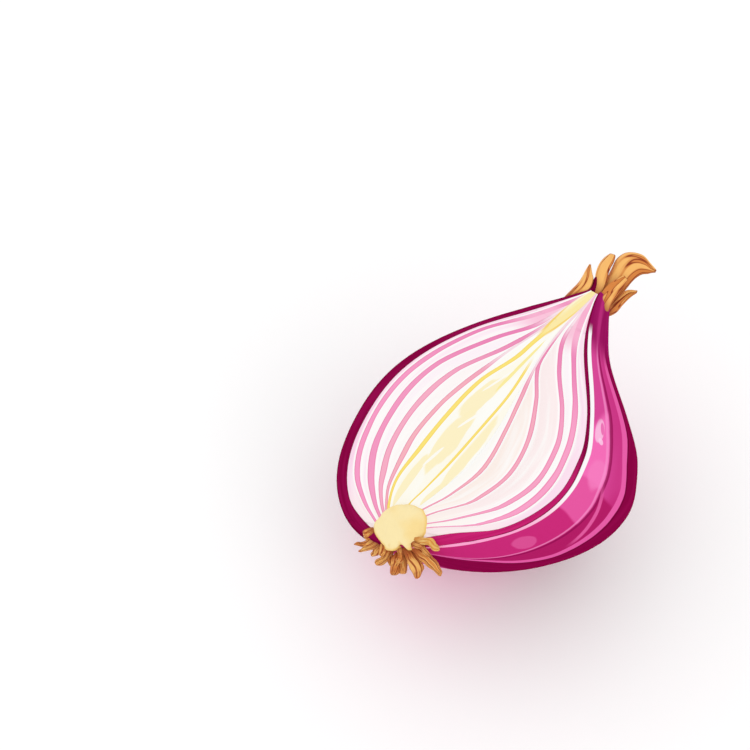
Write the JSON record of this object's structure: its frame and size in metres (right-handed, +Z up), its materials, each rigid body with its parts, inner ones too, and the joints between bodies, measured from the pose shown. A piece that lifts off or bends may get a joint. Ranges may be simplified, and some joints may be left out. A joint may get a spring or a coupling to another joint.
{
  "type": "halved shallot",
  "caption": "Halved shallot bulb lying on its round back with the cut face up: purple skin, nested pink-edged scales, yellow sprout, root tuft and dry neck leaves.",
  "frame": {"origin": "on the resting surface, under the centre of the bounding box", "axes": "+Z up; +Y from the root end towards the neck, which is the higher end; +X towards the raised right edge of the cut"},
  "size_m": [0.0366, 0.0502, 0.0341],
  "materials": {
    "outer_skin": "glossy leathery skin, magenta with darker and lighter lengthwise streaks",
    "inner_skin": "satin dark maroon skin",
    "flesh": "moist cut flesh, white with pink edges",
    "sprout": "moist cream flesh with yellow lines",
    "root_plate": "dull lumpy cream-yellow plate",
    "rootlet": "dry ridged orange-brown fibre",
    "neck_leaf": "dry papery orange-brown leaf with lengthwise creases"
  },
  "bodies": {
    "root": {"outer_skin": "outer_skin", "inner_skin": "inner_skin", "fleshy_scale_1": "flesh", "fleshy_scale_2": "flesh", "fleshy_scale_3": "flesh", "fleshy_scale_4": "flesh", "fleshy_scale_5": "flesh", "sprout_leaf_left": "sprout", "sprout_leaf_right": "sprout", "root_plate": "root_plate", "rootlet_01": "rootlet", "rootlet_02": "rootlet", "rootlet_03": "rootlet", "rootlet_04": "rootlet", "rootlet_05": "rootlet", "rootlet_06": "rootlet", "rootlet_07": "rootlet", "rootlet_08": "rootlet", "rootlet_09": "rootlet", "rootlet_10": "rootlet", "rootlet_11": "rootlet", "rootlet_12": "rootlet", "rootlet_13": "rootlet", "rootlet_14": "rootlet", "neck_leaf_left": "neck_leaf", "neck_leaf_middle": "neck_leaf", "neck_leaf_large": "neck_leaf", "neck_leaf_front": "neck_leaf", "neck_leaf_small": "neck_leaf"}
  },
  "joints": []
}
